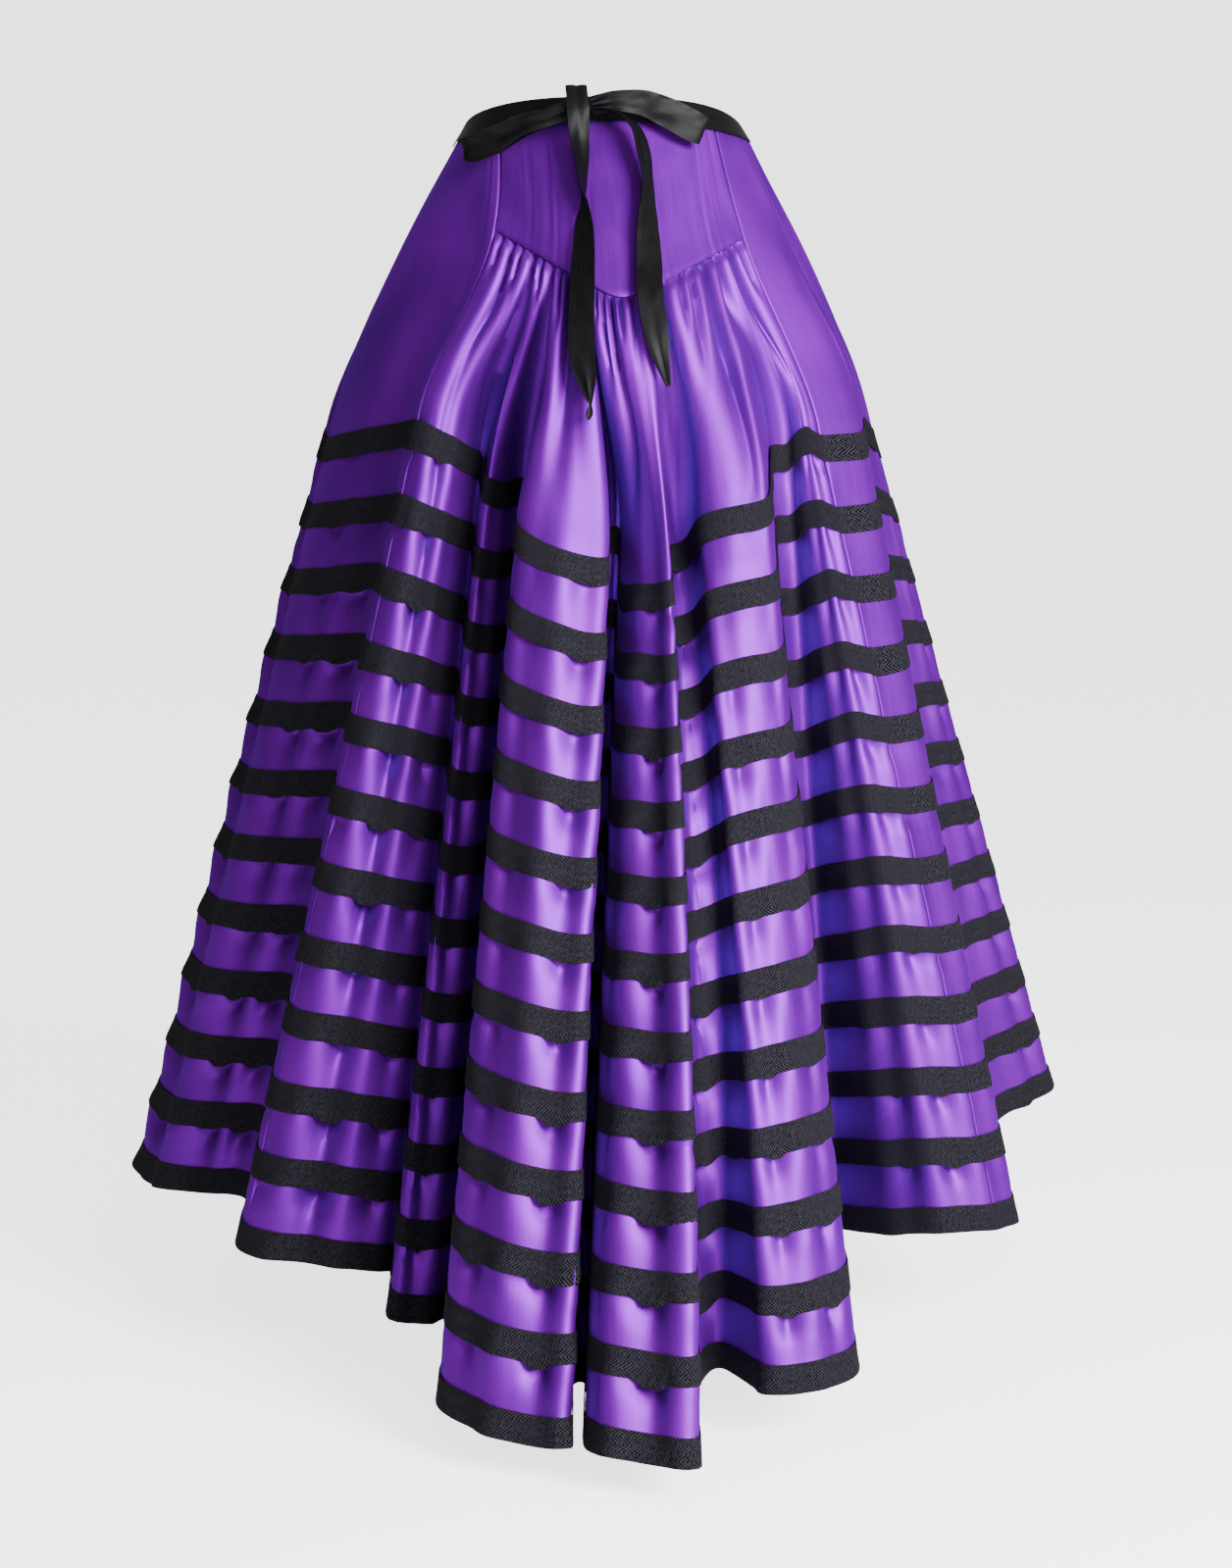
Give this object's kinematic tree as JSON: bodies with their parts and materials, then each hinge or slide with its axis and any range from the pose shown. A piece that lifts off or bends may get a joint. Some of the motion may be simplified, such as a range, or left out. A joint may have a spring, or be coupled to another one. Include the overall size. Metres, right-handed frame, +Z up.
{
  "type": "pleated wrap skirt",
  "caption": "Long back-gathered walking skirt of smooth satin with a pointed back yoke, rings of flat tape round the flared lower part and a ribbon tied in a bow at the back waist.",
  "frame": {"origin": "centre of the waist opening, level with the waist edge at the sides", "axes": "+Z up out of the waist, -Y towards the wearer's back where the bow is, +X towards the wearer's right"},
  "size_m": [0.9211, 1.0617, 1.1136],
  "materials": {
    "purple_satin": "satin",
    "black_tape": "matte"
  },
  "bodies": {
    "root": {"back_yoke": "purple_satin", "back_panel_left": "purple_satin", "back_panel_right": "purple_satin", "right_side_panel": "purple_satin", "front_panel": "purple_satin", "left_side_panel": "purple_satin", "hem_binding": "black_tape", "tape_01": "black_tape", "tape_02": "black_tape", "tape_03": "black_tape", "tape_04": "black_tape", "tape_05": "black_tape", "tape_06": "black_tape", "tape_07": "black_tape", "tape_08": "black_tape", "tape_09": "black_tape", "tape_10": "black_tape", "tape_11": "black_tape", "waist_ribbon": "black_tape", "bow_knot": "black_tape", "bow_loop_left": "black_tape", "bow_loop_right": "black_tape", "bow_tail_left": "black_tape", "bow_tail_right": "black_tape"}
  },
  "joints": []
}
